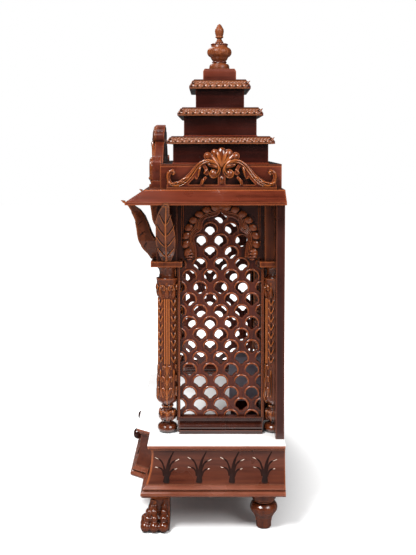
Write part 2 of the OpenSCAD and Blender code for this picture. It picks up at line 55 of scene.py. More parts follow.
# %% Camera
LENS_MM, SENSOR_MM, LENS_SHIFT = 50.3, 36.0, -0.17
CAMERA_PLACE = (2.609, 0.018, 1.107)
TILT_DOWN = 2.635

camera_data = bpy.data.cameras.new("camera")
camera_data.lens = LENS_MM
camera_data.sensor_width = SENSOR_MM
camera_data.sensor_fit = "VERTICAL"
camera_data.sensor_height = SENSOR_MM
camera_data.shift_y = LENS_SHIFT
camera_data.clip_end = 50.0
camera = bpy.data.objects.new("camera", camera_data)
camera.location = CAMERA_PLACE
camera.rotation_euler = (math.radians(90.0 - TILT_DOWN), 0.0, math.radians(90.0))
bpy.context.scene.collection.objects.link(camera)
bpy.context.scene.camera = camera
print("camera at", tuple(round(v, 3) for v in camera.location))


# %% [markdown]
# Paint charts give colours as the eye sees them, in sRGB. Shaders want linear light. The colour
# picker in the editor converts by itself, but a script has to do it, so each chart colour goes
# through the standard curve once, here.

# %% Colours
def paint(code):
    channels = [int(code[i:i + 2], 16) / 255 for i in (0, 2, 4)]
    linear = [c / 12.92 if c < 0.04045 else ((c + 0.055) / 1.055) ** 2.4 for c in channels]
    return (*linear, 1.0)


# %% [markdown]
# A finish is a chain of shader nodes. In the editor the nodes are placed and wired by hand. This
# function adds one node of any kind: its settings, the values of its sockets, the wires that
# run into it and, for a colour ramp, its stops. A finish then reads from the first node to the
# last.

# %% Adding a shader node
def add_node(tree, kind, values=None, wires=None, stops=(), **settings):
    node = tree.nodes.new(kind)
    for name, value in settings.items():
        setattr(node, name, value)
    for socket, value in (values or {}).items():
        node.inputs[socket].default_value = value
    for socket, source in (wires or {}).items():
        tree.links.new(source, node.inputs[socket])
    for i, (position, code) in enumerate(stops):
        node.color_ramp.elements[i].position = position
        node.color_ramp.elements[i].color = paint(code)
    return node


def new_material(name):
    material = bpy.data.materials.new(name)
    material.use_nodes = True
    return material, material.node_tree, material.node_tree.nodes["Principled BSDF"]


# %% [markdown]
# The shrine is of wood, stained and then varnished. To the eye that is long streaks of grain
# under a wet-looking coat, edges that are lighter, partly rubbed by the polisher and partly a
# painted highlight, and painted shade that darkens the hollows and the places where parts meet.
#
# A picture of wood could be wrapped round each piece, but on carving it smears and shows seams.
# Noise in the piece's own space runs through it as grain runs through a real board, so it is
# used here: one noise stretched along the grain for the streaks, and a broad one for the uneven
# stain. The ambient occlusion node finds the edges and hollows of any shape by itself. The
# varnish is the shader's coat, smoother than the wood below it, so a sharp light lies on top of
# a broad one. Wood and varnish both have an IOR near 1.5, the shader's default.

# %% Varnished wood
# per metre: streaks lie 14 mm apart and are 200 mm long, and patches of stain are 110 mm wide
ACROSS_GRAIN, ALONG_GRAIN, STAIN_PATCH = 70.0, 5.0, 9.0
HOLLOW_REACH, EDGE_REACH, EDGE_ROUND = 0.016, 0.005, 0.0016
GRAIN_DEPTH, VARNISH_GLOSS = 0.001, 0.1


# the rubbed tone lightens edges, partly as wear and partly as painted highlight, and the lowest
# factor sets how dark the painted shade in hollows gets
def varnished_wood(name, light, dark, grain, gloss=0.28, rubbed="a5572c", deepest_hollow_shade=0.16, edge=0.75,
                   coat=0.6, shine=0.5):
    material, tree, shader = new_material(name)
    place = add_node(tree, "ShaderNodeTexCoord").outputs["Object"]
    scale = [ALONG_GRAIN if axis == grain else ACROSS_GRAIN for axis in "xyz"]
    stretch = add_node(tree, "ShaderNodeMapping", {"Scale": scale}, {"Vector": place})
    streaks = add_node(tree, "ShaderNodeTexNoise", {"Scale": 1.0, "Detail": 6.0,
                       "Roughness": 0.62}, {"Vector": stretch.outputs["Vector"]})
    patches = add_node(tree, "ShaderNodeTexNoise", {"Scale": STAIN_PATCH, "Detail": 3.0},
                       {"Vector": place})
    blend = add_node(tree, "ShaderNodeMix", {"Factor": 0.4},
                     {"A": streaks.outputs["Fac"], "B": patches.outputs["Fac"]})
    stain = add_node(tree, "ShaderNodeValToRGB", None, {"Fac": blend.outputs["Result"]},
                     stops=((0.34, dark), (0.66, light)))
    # edges: rays sent into the wood come out again close to a sharp edge; there the colour turns
    # to the lighter rubbed tone, partly wear and partly painted highlight
    inside = add_node(tree, "ShaderNodeAmbientOcclusion", {"Distance": EDGE_REACH},
                      samples=5, inside=True, only_local=True)
    worn_and_lit_edges = add_node(tree, "ShaderNodeMapRange", {"From Min": 0.92, "From Max": 0.45,
                    "To Min": 0.0, "To Max": edge}, {"Value": inside.outputs["AO"]})
    rubbed_and_highlit = add_node(tree, "ShaderNodeMixRGB", {"Color2": paint(rubbed)},
                   {"Fac": worn_and_lit_edges.outputs["Result"], "Color1": stain.outputs["Color"]})
    # painted shade: the colour is darkened in hollows and where pieces meet
    hollow = add_node(tree, "ShaderNodeAmbientOcclusion", {"Distance": HOLLOW_REACH}, samples=6)
    hollow_shade_factor = add_node(tree, "ShaderNodeMapRange", {"From Min": 0.25, "From Max": 0.85,
                      "To Min": deepest_hollow_shade, "To Max": 1.0}, {"Value": hollow.outputs["AO"]})
    tone = add_node(tree, "ShaderNodeVectorMath", None, {0: rubbed_and_highlit.outputs["Color"],
                    "Scale": hollow_shade_factor.outputs["Result"]}, operation="SCALE")
    tree.links.new(tone.outputs["Vector"], shader.inputs["Base Color"])
    soften = add_node(tree, "ShaderNodeBevel", {"Radius": EDGE_ROUND}, samples=4)
    relief = add_node(tree, "ShaderNodeBump", {"Strength": 0.12, "Distance": GRAIN_DEPTH},
                      {"Height": streaks.outputs["Fac"], "Normal": soften.outputs["Normal"]})
    tree.links.new(relief.outputs["Normal"], shader.inputs["Normal"])
    sheen = add_node(tree, "ShaderNodeMapRange", {"From Min": 0.3, "From Max": 0.7,
                     "To Min": gloss - 0.05, "To Max": gloss + 0.09},
                     {"Value": patches.outputs["Fac"]})
    tree.links.new(sheen.outputs["Result"], shader.inputs["Roughness"])
    shader.inputs["Coat Weight"].default_value = coat
    shader.inputs["Specular IOR Level"].default_value = shine
    shader.inputs["Coat Roughness"].default_value = VARNISH_GLOSS
    return material


# %% [markdown]
# One stain gives many tones. The mouldings and carvings are lighter, partly wiped by the polisher
# and partly painted highlight, the boards stay red, and the walls under the roofs and eave are
# nearly black, which is painted shade. One material with a painted mask could carry them all, but
# the mask would have to be painted again with every change of shape. So each tone is a wood of
# its
# own: a light and a dark stain, the way its grain runs, its gloss and the tone of its lighter
# edges, which are partly painted highlight.

# %% The woods
RED_LIGHT, RED_DARK = "6e2e1b", "401407"
# posts and back panel: a deep brown that only shows its red where light grazes it
wood_up = varnished_wood("dark_upright_wood", "3d140a", "210903", "z", 0.28, "7a3a1e",
                         coat=0.35)
# long boards: mahogany red with the grain along the board
wood_x = varnished_wood("varnished_wood_along_front", RED_LIGHT, RED_DARK, "x")
wood_y = varnished_wood("varnished_wood_along_side", RED_LIGHT, RED_DARK, "y")
# hollow boards of the base: a little browner and duller, so the cuts stand out dark
wood_base = varnished_wood("hollow_board_wood", "64301d", "3c160b", "y")
wood_base_x = varnished_wood("hollow_board_wood_front", "64301d", "3c160b", "x")
# mouldings above and below them: wiped light, with bright edges that are partly painted highlight
wood_edge = varnished_wood("light_moulding_wood", "844833", "562616", "y", 0.22, "b27050")
# turned work: glossy, with small sharp lights on each swelling
wood_turned = varnished_wood("turned_column_wood", "6a3014", "321006", "z", 0.2)
# the finial: lighter and softer, because it catches the most light
wood_finial = varnished_wood("finial_wood", "84441f", "4c1f0c", "z", 0.38, "a3602e", coat=0.12,
                             shine=0.3)
# tower walls and knobs: almost black red; on the walls under the roofs this darkness is painted
# shade
wood_dark = varnished_wood("dark_varnished_wood", "3a0e05", "1e0502", "y", 0.22, "6c2a14")
# the dark of a cut: stain gathered there, and painted shade for the depth of a groove or hole
# that is not modelled
wood_cut_stain_and_shade = varnished_wood("cut_stain_and_shade_wood", "250c05", "140502", "z", 0.6, "250c05",
                           coat=0.03, shine=0.2)
# raised carving: orange brown, lighter than the boards as a painted highlight, with a brighter
# ridge that is partly rubbed wear and partly painted highlight
wood_carved = varnished_wood("carved_highlight_wood", "7e3d19", "451807", "z", 0.2, "a85c28")
# leaf brackets: between the boards and the carving
wood_leaf = varnished_wood("leaf_bracket_wood", "653018", "351407", "z", 0.22, "96501f")
# rims, arch and ring of the screens: dark red with a soft light edge
wood_rim = varnished_wood("screen_rim_wood", "642a17", "391207", "z", 0.22, "8c4621")
# painted highlights: pale strands where light catches the lip of a gouge
wood_painted_highlight = varnished_wood("painted_highlight_wood", "e0b496", "b98263", "z", 0.2, "f4ddcc")
# leaves and drops on the roofs: dusty brown
wood_roof = varnished_wood("carved_roof_wood", "61301d", "3b1a0d", "y", 0.26, "8a4e2b", 0.1)
# pierced panels and their frames: red brown, darker on the frame that lies in shade
wood_screen = varnished_wood("shaded_screen_wood", "582111", "300d05", "z", 0.24, "783a1e")
wood_frame = varnished_wood("screen_frame_wood", "41170b", "240b04", "z", 0.24, "70351c")
# the drawer inside: plain pale wood, not stained
wood_inside = varnished_wood("plain_drawer_wood", "b98a5a", "94683e", "y", 0.5, "c79a6a")
print("woods made")


# %% [markdown]
# The floor of the shrine is a polished white slab with the faintest grey veins. The small
# pedestal inside is coloured grey-mauve, which is painted shade on a pale pedestal standing in
# shadow behind the screens. Plain colours would make both look like paper. One recipe serves
# them: a noise that is bent out of line, as veins are, and squeezed between two tones that lie
# close together.
# Veins come every 170 mm or so, clouds every 45 mm.

# %% Slab and laminate
def sheet_finish(name, light, dark, scale, gloss, coat):
    material, tree, shader = new_material(name)
    place = add_node(tree, "ShaderNodeTexCoord").outputs["Object"]
    veins = add_node(tree, "ShaderNodeTexNoise", {"Scale": scale, "Detail": 5.0,
                     "Distortion": 1.2}, {"Vector": place})
    tint = add_node(tree, "ShaderNodeValToRGB", None, {"Fac": veins.outputs["Fac"]},
                    stops=((0.35, dark), (0.5, light)))
    tree.links.new(tint.outputs["Color"], shader.inputs["Base Color"])
    shader.inputs["Roughness"].default_value = gloss
    shader.inputs["Coat Weight"].default_value = coat
    return material


white_slab = sheet_finish("polished_white_slab", "ffffff", "faf9f7", 6.0, 0.16, 0.3)
# painted shade: the pedestal's grey-mauve tones stand for a pale surface in shadow
grey_pedestal_shade = sheet_finish("grey_mauve_pedestal_shade", "8d8794", "7c7683", 22.0, 0.35, 0.1)
print("sheets made:", white_slab.name, grey_pedestal_shade.name)

# %% [markdown]
# Every piece of the construction model gets the finish of its real counterpart. A carpenter
# cuts a board so that its grain runs along it, where it is strongest, and the finishes follow
# that. Each piece was stained as one, so a list of pieces is enough and no face needs a material
# of its own. A piece that isn't in the list is of the dark upright wood.

# %% Finishes of the construction pieces
finish_of = {"floor_slab": white_slab, "side_pedestal": grey_pedestal_shade, "pedestal_foot": wood_dark}
for name in ("crest_left", "crest_right", "base_board", "eave_skirt", "frieze_box", "tower_cap"):
    finish_of[name] = wood_y
for name in ("base_side_left", "base_side_right"):
    finish_of[name] = wood_base
for name in ("base_front_left", "base_front_right", "base_back", "drawer_front"):
    finish_of[name] = wood_base_x
for name in ("base_plinth", "base_crown"):
    finish_of[name] = wood_edge
for name in ("column_front_left", "column_front_right", "column_rear_left", "column_rear_right",
             "paw_foot_left", "paw_foot_right", "turned_foot_left", "turned_foot_right"):
    finish_of[name] = wood_turned
finish_of["finial"] = wood_finial
for name in ("leaf_front_left", "leaf_front_right", "leaf_side_left", "leaf_side_right"):
    finish_of[name] = wood_leaf
for name in ("ceiling_board", "front_arch", "crest_front"):
    finish_of[name] = wood_x
for name in ("tower_tier_0", "tower_tier_1", "tower_tier_2", "drawer_knob_left",
             "drawer_knob_right"):
    finish_of[name] = wood_dark
for name in ("drawer_box", "runner_left", "runner_right"):
    finish_of[name] = wood_inside
for name in ("jali_left", "jali_right"):
    finish_of[name] = wood_screen
for name in ("screen_frame_left", "screen_frame_right"):
    finish_of[name] = wood_frame
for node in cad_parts:
    thing = bpy.data.objects[node]
    thing.data.materials.clear()
    thing.data.materials.append(finish_of.get(node, wood_up))
print("finishes set on", len(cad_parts), "pieces")


# %% [markdown]
# Carving is made of a few shapes over and over: a petal that stands out of the wood, and a
# strand such as a rib, stem or scroll. It could be sculpted, or cut into the boards with
# booleans, but that is slow and often tears a thin board. Small shapes sunk halfway into the
# surface look the same. A petal starts as a coarse ball, since there are hundreds of them, and
# is narrowed at one end. A strand is a curve with a round section that swells and thins. Each is
# made here once, and a matrix sets it in place.

# %% Petals and strands
petal_shapes = {}


# point above 0 narrows the upper end, below 0 widens it, and 0 leaves a ball
def petal_shape(point):
    if point not in petal_shapes:
        bm = bmesh.new()
        bmesh.ops.create_uvsphere(bm, u_segments=10, v_segments=6, radius=0.5)
        for vert in bm.verts:
            taper = 1.0 - point * (vert.co.z + 0.5)
            vert.co = Vector((vert.co.x * taper, vert.co.y, vert.co.z))
        petal_shapes[point] = bpy.data.meshes.new("petal")
        bm.to_mesh(petal_shapes[point])
        bm.free()
    return petal_shapes[point].copy()


def petal(bm, place, length, width, height, point=0.5):
    mesh = petal_shape(point)
    mesh.transform(place @ Matrix.Diagonal((width, height, length, 1.0)))
    bm.from_mesh(mesh)
    bpy.data.meshes.remove(mesh)


# flat below 1 presses the strand against the surface that it lies on
def strand(bm, points, radii, place=Matrix(), flat=1.0, sides=2, steps=4):
    curve = bpy.data.curves.new("strand", "CURVE")
    curve.dimensions = "3D"
    curve.bevel_depth = 1.0
    curve.bevel_resolution = sides
    curve.use_fill_caps = True
    spline = curve.splines.new("BEZIER")
    spline.bezier_points.add(len(points) - 1)
    spline.resolution_u = steps
    for knot, point, radius in zip(spline.bezier_points, points, radii):
        knot.co = point
        knot.radius = radius
        knot.handle_left_type = knot.handle_right_type = "AUTO"
    holder = bpy.data.objects.new("strand", curve)
    mesh = bpy.data.meshes.new_from_object(holder)
    mesh.transform(place @ Matrix.Diagonal((1.0, flat, 1.0, 1.0)))
    bm.from_mesh(mesh)
    bpy.data.objects.remove(holder)
    bpy.data.curves.remove(curve)
    bpy.data.meshes.remove(mesh)


def carved_piece(name, bm, material, body=ROOT):
    bmesh.ops.recalc_face_normals(bm, faces=bm.faces)
    mesh = bpy.data.meshes.new(name)
    bm.to_mesh(mesh)
    bm.free()
    for face in mesh.polygons:
        face.use_smooth = True
    piece = bpy.data.objects.new(name, mesh)
    bpy.context.scene.collection.objects.link(piece)
    mesh.materials.append(material)
    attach(piece, body)
    print(name, len(mesh.polygons), "faces")


# a place on a wall: x runs across it, z up it, and y into the wood
def side_place(origin, across, up):
    across, up = Vector(across).normalized(), Vector(up).normalized()
    out = across.cross(up)
    turn = Matrix((across, -out, up)).transposed().to_4x4()
    return Matrix.Translation(Vector(origin)) @ turn


# %% [markdown]
# The paws are carved from one block, so their toes melt into each other. The construction model
# has them as separate balls, and joining those with booleans would leave sharp creases. A voxel
# remesh draws one skin over them instead, with cells small enough to keep the clefts between
# the toes, and a smoothing rubs off its steps. A strand over each toe is the tendon that runs
# from it up to the ankle.

# %% Paws in one skin
SKIN_CELL, RUBS = 0.0018, 4
# each tendon: distance in from its toe and height, then half its width, in millimetres
TENDON = ((3, 14), (8, 27), (12, 40), (18, 56), (23, 70), (28, 86))
TENDON_R = (9.0, 9.6, 8.6, 8.2, 7.0, 7.4)
# each toe: its distances from the two outer edges, and how far its tendon turns sideways
TOES = ((17, 17, 45), (15, 42, 0), (15, 69, 0), (42, 15, 90), (69, 15, 90))

for name in ("paw_foot_left", "paw_foot_right"):
    skin = bpy.data.objects[name].modifiers.new("one skin", "REMESH")
    skin.mode = "VOXEL"
    skin.voxel_size = SKIN_CELL
    skin.use_smooth_shade = True
    rubbed = bpy.data.objects[name].modifiers.new("rubbed smooth", "SMOOTH")
    rubbed.factor = 0.5
    rubbed.iterations = RUBS
    low, high = (Vector(v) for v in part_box(name))
    s = 1 if name.endswith("right") else -1
    corner = Vector((high.x if s > 0 else low.x, low.y, 0.0))
    tendons = bmesh.new()
    for across, along, turn in TOES:
        foot = corner + Vector((-s * across * MM, along * MM, 0.0))
        back = Vector((-s * math.cos(math.radians(turn)), math.sin(math.radians(turn)), 0.0))
        strand(tendons, [foot + back * (r * MM) + Vector((0, 0, z * MM)) for r, z in TENDON],
               [r * MM for r in TENDON_R], Matrix(), 1.0, 5)
    carved_piece(f"{name}_tendons", tendons, wood_turned)

# %% [markdown]
# Each roof of the tower carries a band of slanted leaves over a row of hanging drops, with a
# drilled dot between drops. An Array modifier could repeat one leaf, but the sides are of
# different lengths and a leaf would be cut at the corners. The carver spaces them so that a
# whole number fits each side, and the loop does the same: it divides, rounds and spreads.

# %% Roof bands
LEAF_PITCH, CORNER_GAP, LEAF_LEAN = 0.0205, 0.006, 48
ROOF_HEIGHTS, ROOF_DRAW_IN = (0.023, 0.026, 0.030), 0.014
# width and depth of a drop, length, width and depth of a leaf, and the ball between drops
DROP, LEAF, BALL = (0.0155, 0.008), (0.015, 0.0064, 0.005), (0.007, 0.007, 0.006)


def roof_band(node, index, roof_h, draw_in):
    low, high = (Vector(v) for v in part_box(node))
    foot = high.z - roof_h
    centre = (low + high) / 2
    raised, drilled = bmesh.new(), bmesh.new()
    half = ((high.x - low.x) / 2, (high.y - low.y) / 2)
    for quarter in range(4):
        turn = Matrix.Rotation(quarter * math.pi / 2, 4, "Z")
        out, along = half[(quarter + 1) % 2], half[quarter % 2]
        origin = turn @ Vector((0.0, -out, 0.0)) + Vector((centre.x, centre.y, foot))
        across = turn @ Vector((1.0, 0.0, 0.0))
        up = turn @ Vector((0.0, draw_in, roof_h))
        frame_of = side_place(origin, across, up)
        count = round(2 * (along - CORNER_GAP) / LEAF_PITCH)
        pitch = 2 * (along - CORNER_GAP) / count
        for i in range(count):
            u = -along + CORNER_GAP + (i + 0.5) * pitch
            petal(raised, frame_of @ Matrix.Translation((u, -0.001, roof_h * 0.30)),
                  roof_h * 0.46, *DROP, -0.5)
            petal(raised, frame_of @ Matrix.Translation((u - pitch / 2, -0.001, roof_h * 0.50)),
                  *BALL, 0.0)
            # each dark dot is painted shade of a drilled hole, in the dark cut wood
            petal(drilled, frame_of @ Matrix.Translation((u - pitch / 2, 0.0, roof_h * 0.24)),
                  roof_h * 0.26, 0.006, 0.003, 0.0)
            for half_step in (0.0, 0.5):
                lean = Matrix.Rotation(math.radians(LEAF_LEAN), 4, "Y")
                petal(raised, frame_of @ Matrix.Translation(
                    (u + half_step * pitch, -0.0005, roof_h * 0.76)) @ lean, *LEAF, 0.5)
        ends = along - 0.004
        # a thin ground in the lighter roof wood, so that the leaves don't stand on black
        middle = roof_h * 0.52
        strand(raised, [(u, 0.0002, middle) for u in (-ends + 0.012, 0, ends - 0.012)],
               [roof_h * 0.47] * 3, frame_of, 0.07)
        strand(raised, [(-ends, 0, 0.0015), (0, 0, 0.0015), (ends, 0, 0.0015)],
               [0.0018] * 3, frame_of)
    carved_piece(f"roof_carving_{index}", raised, wood_roof)
    carved_piece(f"roof_dots_{index}", drilled, wood_cut_stain_and_shade)


for index, height in enumerate(ROOF_HEIGHTS):
    roof_band(f"tower_tier_{index}", index, height, ROOF_DRAW_IN)

# %% [markdown]
# The finial's neck wears a ring of beads, and its melon has a bead over every rib. A lathe can
# turn a plain ring, and the beads are then cut from it one by one. Here each is a small ball,
# turned about the finial's axis and sunk until only its cap shows.

# %% Finial beads
# each ring: its height and radius, and the number and size of its beads
BEAD_RINGS = ((0.026, 0.0215, 20, 0.0062), (0.0845, 0.0255, 18, 0.007))

low, high = (Vector(v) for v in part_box("finial"))
axis = Vector(((low.x + high.x) / 2, (low.y + high.y) / 2, low.z))
beads = bmesh.new()
for height, radius, count, size in BEAD_RINGS:
    for i in range(count):
        turn = Matrix.Rotation(2 * math.pi * i / count, 4, "Z")
        spot = Matrix.Translation(axis + Vector((0, 0, height))) @ turn
        petal(beads, spot @ Matrix.Translation((0, -radius, 0)), size, size, size, 0.0)
carved_piece("finial_beads", beads, wood_dark)

# %% [markdown]
# A crest is a palmette between two long scrolls. The scrolls are stems that thicken and thin
# as they turn, and end in round volutes, and small leaves fill the hollows. A flat outline with
# a bevelled edge would catch the light like sheet metal. A gouge leaves rounded ridges, so each
# scroll is made of three strands side by side: a broad ridge, a narrow one and the dark cut
# between them. One half is described, and its sign s makes the other half.

# %% Crest carving
# a scroll: distance from the middle, height and half width in millimetres
SCROLL = ((13, 43, 2.2), (7, 56, 3.0), (11, 71, 3.4), (26, 81, 3.4), (45, 83, 3.8), (66, 72, 4.4),
          (80, 55, 4.6), (93, 37, 4.4), (108, 22, 4.0), (126, 12, 3.2), (150, 9, 2.0))
# a leaf: place, length, width and tilt; a lobe of the palmette: tilt, length and width
LEAVES = ((66, 50, 34, 10, 168), (55, 22, 24, 8, -14), (47, 52, 20, 10, 140),
          (110, 30, 30, 8, 118), (128, 20, 32, 8, 104), (148, 17, 20, 7, 70))
PALMETTE = ((23, 53, 20), (47, 57, 19), (72, 40, 11))
# the curl at the far end of a scroll: place in millimetres, half width in metres
CURL = ((124, 10), (140, 10), (153, 18), (158, 32), (156, 46), (147, 53), (139, 47), (144, 42))
CURL_R = (0.0022, 0.003, 0.0036, 0.0036, 0.0036, 0.0036, 0.003, 0.002)
FRONT_CREST_SCALE = 1.62


def crest_carving(bm, cuts, place):
    petal(bm, place @ Matrix.Translation((0, -0.001, 0.091)), 0.062, 0.022, 0.016, -0.5)
    petal(bm, place @ Matrix.Translation((0, -0.001, 0.027)), 0.026, 0.015, 0.011, 0.0)
    # the dark cut strands and drops are painted shade of the grooves, with some stain
    petal(cuts, place @ Matrix.Translation((0, -0.0045, 0.030)), 0.010, 0.006, 0.006, 0.4)
    for s in (-1, 1):
        def at(points):
            return [(s * x * MM, 0.0, z * MM) for x, z in points]
        rises = [0.004, 0.007, 0.007, 0.007, 0.005, 0.002] + [0.0] * (len(SCROLL) - 6)
        for blade, right, up, share in ((bm, 1.5, 1.5, 0.75), (bm, -2.5, -3.5, 0.45),
                                        (cuts, -0.8, -1.2, 0.35)):
            strand(blade, [(s * (x + right) * MM, -rise, (z + up) * MM)
                           for (x, z, _), rise in zip(SCROLL, rises)],
                   [r * share * MM for _, _, r in SCROLL], place)
        disc = place @ Matrix.Translation((s * 0.023, 0, 0.045))
        petal(bm, disc, 0.021, 0.021, 0.013, 0.0)
        ring = [(23 + 11.5 * math.cos(math.radians(a)), 45 + 11.5 * math.sin(math.radians(a)))
                for a in range(-200, 130, 30)]
        strand(bm, at(ring), [0.0014] * 2 + [0.0020] * (len(ring) - 2), place)
        strand(bm, at(CURL), CURL_R, place)
        for x, z, l, w, tilt in LEAVES:
            spot = place @ Matrix.Translation((s * x * MM, -0.001, z * MM))
            petal(bm, spot @ Matrix.Rotation(math.radians(s * tilt), 4, "Y"),
                  l * MM, w * MM, 0.010, 0.55)
        for tilt, reach, wide in PALMETTE:
            spot = place @ Matrix.Translation((0, -0.001, 0.060)) @ Matrix.Rotation(
                math.radians(s * tilt), 4, "Y")
            petal(bm, spot @ Matrix.Translation((0, 0, reach * 0.62 * MM)), reach * MM,
                  wide * MM, 0.011, -0.3)
            strand(cuts, [spot @ Vector((0, 0, 0.006)), spot @ Vector((0, -0.0035, 0.024)),
                          spot @ Vector((0, -0.0055, reach * 0.85 * MM))],
                   [0.0008, 0.0016, 0.0010])


for side in (-1, 1):
    name = "crest_right" if side > 0 else "crest_left"
    low, high = (Vector(v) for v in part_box(name))
    face = high.x - 0.005 if side > 0 else low.x + 0.005
    carving, cuts = bmesh.new(), bmesh.new()
    crest_carving(carving, cuts, side_place((face, (low.y + high.y) / 2, low.z), (0, side, 0),
                                            (0, 0, 1)))
    carved_piece(f"{name}_carving", carving, wood_carved)
    carved_piece(f"{name}_cuts", cuts, wood_cut_stain_and_shade)
low, high = (Vector(v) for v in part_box("crest_front"))
carving, cuts = bmesh.new(), bmesh.new()
crest_carving(carving, cuts, side_place((0, low.y + 0.006, low.z), (1, 0, 0), (0, 0, 1))
              @ Matrix.Scale(FRONT_CREST_SCALE, 4))
carved_piece("crest_front_carving", carving, wood_carved)
carved_piece("crest_front_cuts", cuts, wood_cut_stain_and_shade)

# %% [markdown]
# The hollow boards of the base carry sprays of five long blades, cut with a gouge. A real cut
# would need a boolean in a curved face. Each blade is a dark strand instead, which swells and
# then runs out to a point. It is sunk into the board until only a thin sliver of it shows, and
# the eye takes that for a groove: its dark is painted shade of the groove, with some stain. A
# pale line along four of them is a painted highlight where light catches the lip of the cut.

# %% Base sprays
# a blade: four points across and up, then how wide it is at the root and at the tip
BLADES = (
    ((0, 2), (2, 25), (8, 61), (21, 89), 10.6, 1.8),
    ((-3, 24), (-8, 45), (-17, 63), (-33, 72), 4.6, 2.6),
    ((-6, 20), (-10, 33), (-18, 41), (-32, 44), 4.3, 2.5),
    ((3, 24), (9, 44), (18, 58), (35, 66), 4.6, 2.6),
    ((6, 18), (12, 31), (19, 37), (30, 40), 4.3, 2.5),
)


# how far the hollow face of the board stands out at a height
def cove_out(z, foot, height=0.096, flare=0.015):
    t = min(max((z - foot - 0.004) / (height - 0.010), 0.0), 1.0)
    return flare * (1.0 - t) ** 2.2


def spray(edges, ground, origin, across, outward, foot):
    across, outward = Vector(across), Vector(outward)

    def on_board(x, z, rise):
        height = foot + 0.004 + z * MM
        return (Vector(origin) + across * (x * MM) + outward * (cove_out(height, foot) + rise)
                + Vector((0, 0, height)))

    for *spine, root, tip in BLADES:
        widths = [1.75 * r * MM for r in (root, 0.62 * root + 0.4 * tip, root * 0.3 + tip, tip)]
        strand(ground, [on_board(x, z, -0.84 * w) for (x, z), w in zip(spine, widths)], widths,
               Matrix(), 1.0, 3, 5)
        if spine[-1][1] > 80:  # the tall middle blade has no lip
            continue
        side = 1 if spine[-1][0] > 0 else -1
        # painted highlight along the lip near the blade's tip
        (x0, z0), (x1, z1) = spine[-2:]
        lit = [on_board(x0 + (x1 - x0) * t + side * 0.8, z0 + (z1 - z0) * t + 0.6, 0.0006)
               for t in (0.35, 0.6, 0.85, 1.02)]
        strand(edges, lit, [0.0003, 0.0008, 0.0009, 0.0003])


def board_sprays(name, origin, across, outward, spots, foot, body=ROOT):
    blades, ground = bmesh.new(), bmesh.new()
    for spot in spots:
        spray(blades, ground, Vector(origin) + Vector(across) * spot, across, outward, foot)
    # the pale strands are painted highlights; the dark ones are painted shade of the cuts, with
    # some stain
    carved_piece(f"{name}_sprays", blades, wood_painted_highlight, body=body)
    carved_piece(f"{name}_cuts", ground, wood_cut_stain_and_shade, body)


# metres from the middle to the side boards, from the drawer back to the boards beside it, from
# the front end of a side board to its first spray, and from one spray to the next
SIDE_FACE, BAY_DEPTH, FIRST_SPRAY, SPRAY_STEP = 0.405, 0.043, 0.058, 0.0945
FRONT_SPRAY, DRAWER_SPRAYS = 0.354, (-0.205, -0.060, 0.060, 0.205)

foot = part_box("base_side_right")[0][2]
board_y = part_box("floor_slab")[0][1] + 0.011
for side in (-1, 1):
    name = "base_side_right" if side > 0 else "base_side_left"
    low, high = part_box(name)
    first = low[1] + FIRST_SPRAY
    board_sprays(name, (side * SIDE_FACE, 0, 0), (0, side, 0), (side, 0, 0),
                 [side * (first + SPRAY_STEP * i) for i in range(4)], foot)
    name = "base_front_right" if side > 0 else "base_front_left"
    board_sprays(name, (0, board_y + BAY_DEPTH, 0), (1, 0, 0), (0, -1, 0),
                 [side * FRONT_SPRAY], foot)
drawer_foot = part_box("drawer_front")[0][2]
board_sprays("drawer_front", (0, board_y, 0), (1, 0, 0), (0, -1, 0), DRAWER_SPRAYS,
             drawer_foot, "drawer")

# %% [markdown]
# Turned columns are dressed by hand: a ring of leaves at the top, tear-shaped nicks up the
# shaft, tall leaves round the lower swelling and lobes round the bulb at the foot. A pattern
# projected from the front would stretch at the sides. So everything is placed by its angle
# round the axis and its height, and one function gives the shaft's radius at that height. The
# half columns at the back get half of each ring.

# %% Column carving
def ring_of_petals(bm, axis, height, radius, count, length, width, depth, lean, point, first,
                   span):
    for i in range(count):
        angle = math.radians(first + span * i / count)
        spot = Matrix.Translation(axis + Vector((0, 0, height))) @ Matrix.Rotation(angle, 4, "Z")
        spot = spot @ Matrix.Translation((0, -radius, 0)) @ Matrix.Rotation(
            math.radians(lean), 4, "X")
        petal(bm, spot, length, width, depth, point)


def column_radius(z):
    if z < 0.104:
        return 0.007 + 0.022 * math.cos(math.asin(min((0.104 - z) / 0.022, 1.0)))
    return 0.029 - 0.002 * min(max((z - 0.140) / 0.040, 0.0), 1.0)


def on_column(face, turn, z, rise=0.0):
    radius, angle = column_radius(z) + rise, math.radians(turn)
    return face @ Vector((radius * math.sin(angle), -radius * math.cos(angle), z))


# a lobe of the tall leaf: angle from its rib, height, and half width in millimetres
LOBES = (
    ((3, 0.166, 2.0), (11, 0.188, 4.4), (20, 0.203, 4.2), (25, 0.192, 1.8)),
    ((4, 0.138, 2.4), (13, 0.158, 5.0), (24, 0.170, 4.8), (29, 0.155, 2.0)),
    ((4, 0.108, 2.4), (14, 0.128, 5.0), (25, 0.136, 4.8), (30, 0.120, 4.0), (23, 0.110, 2.0)),
)


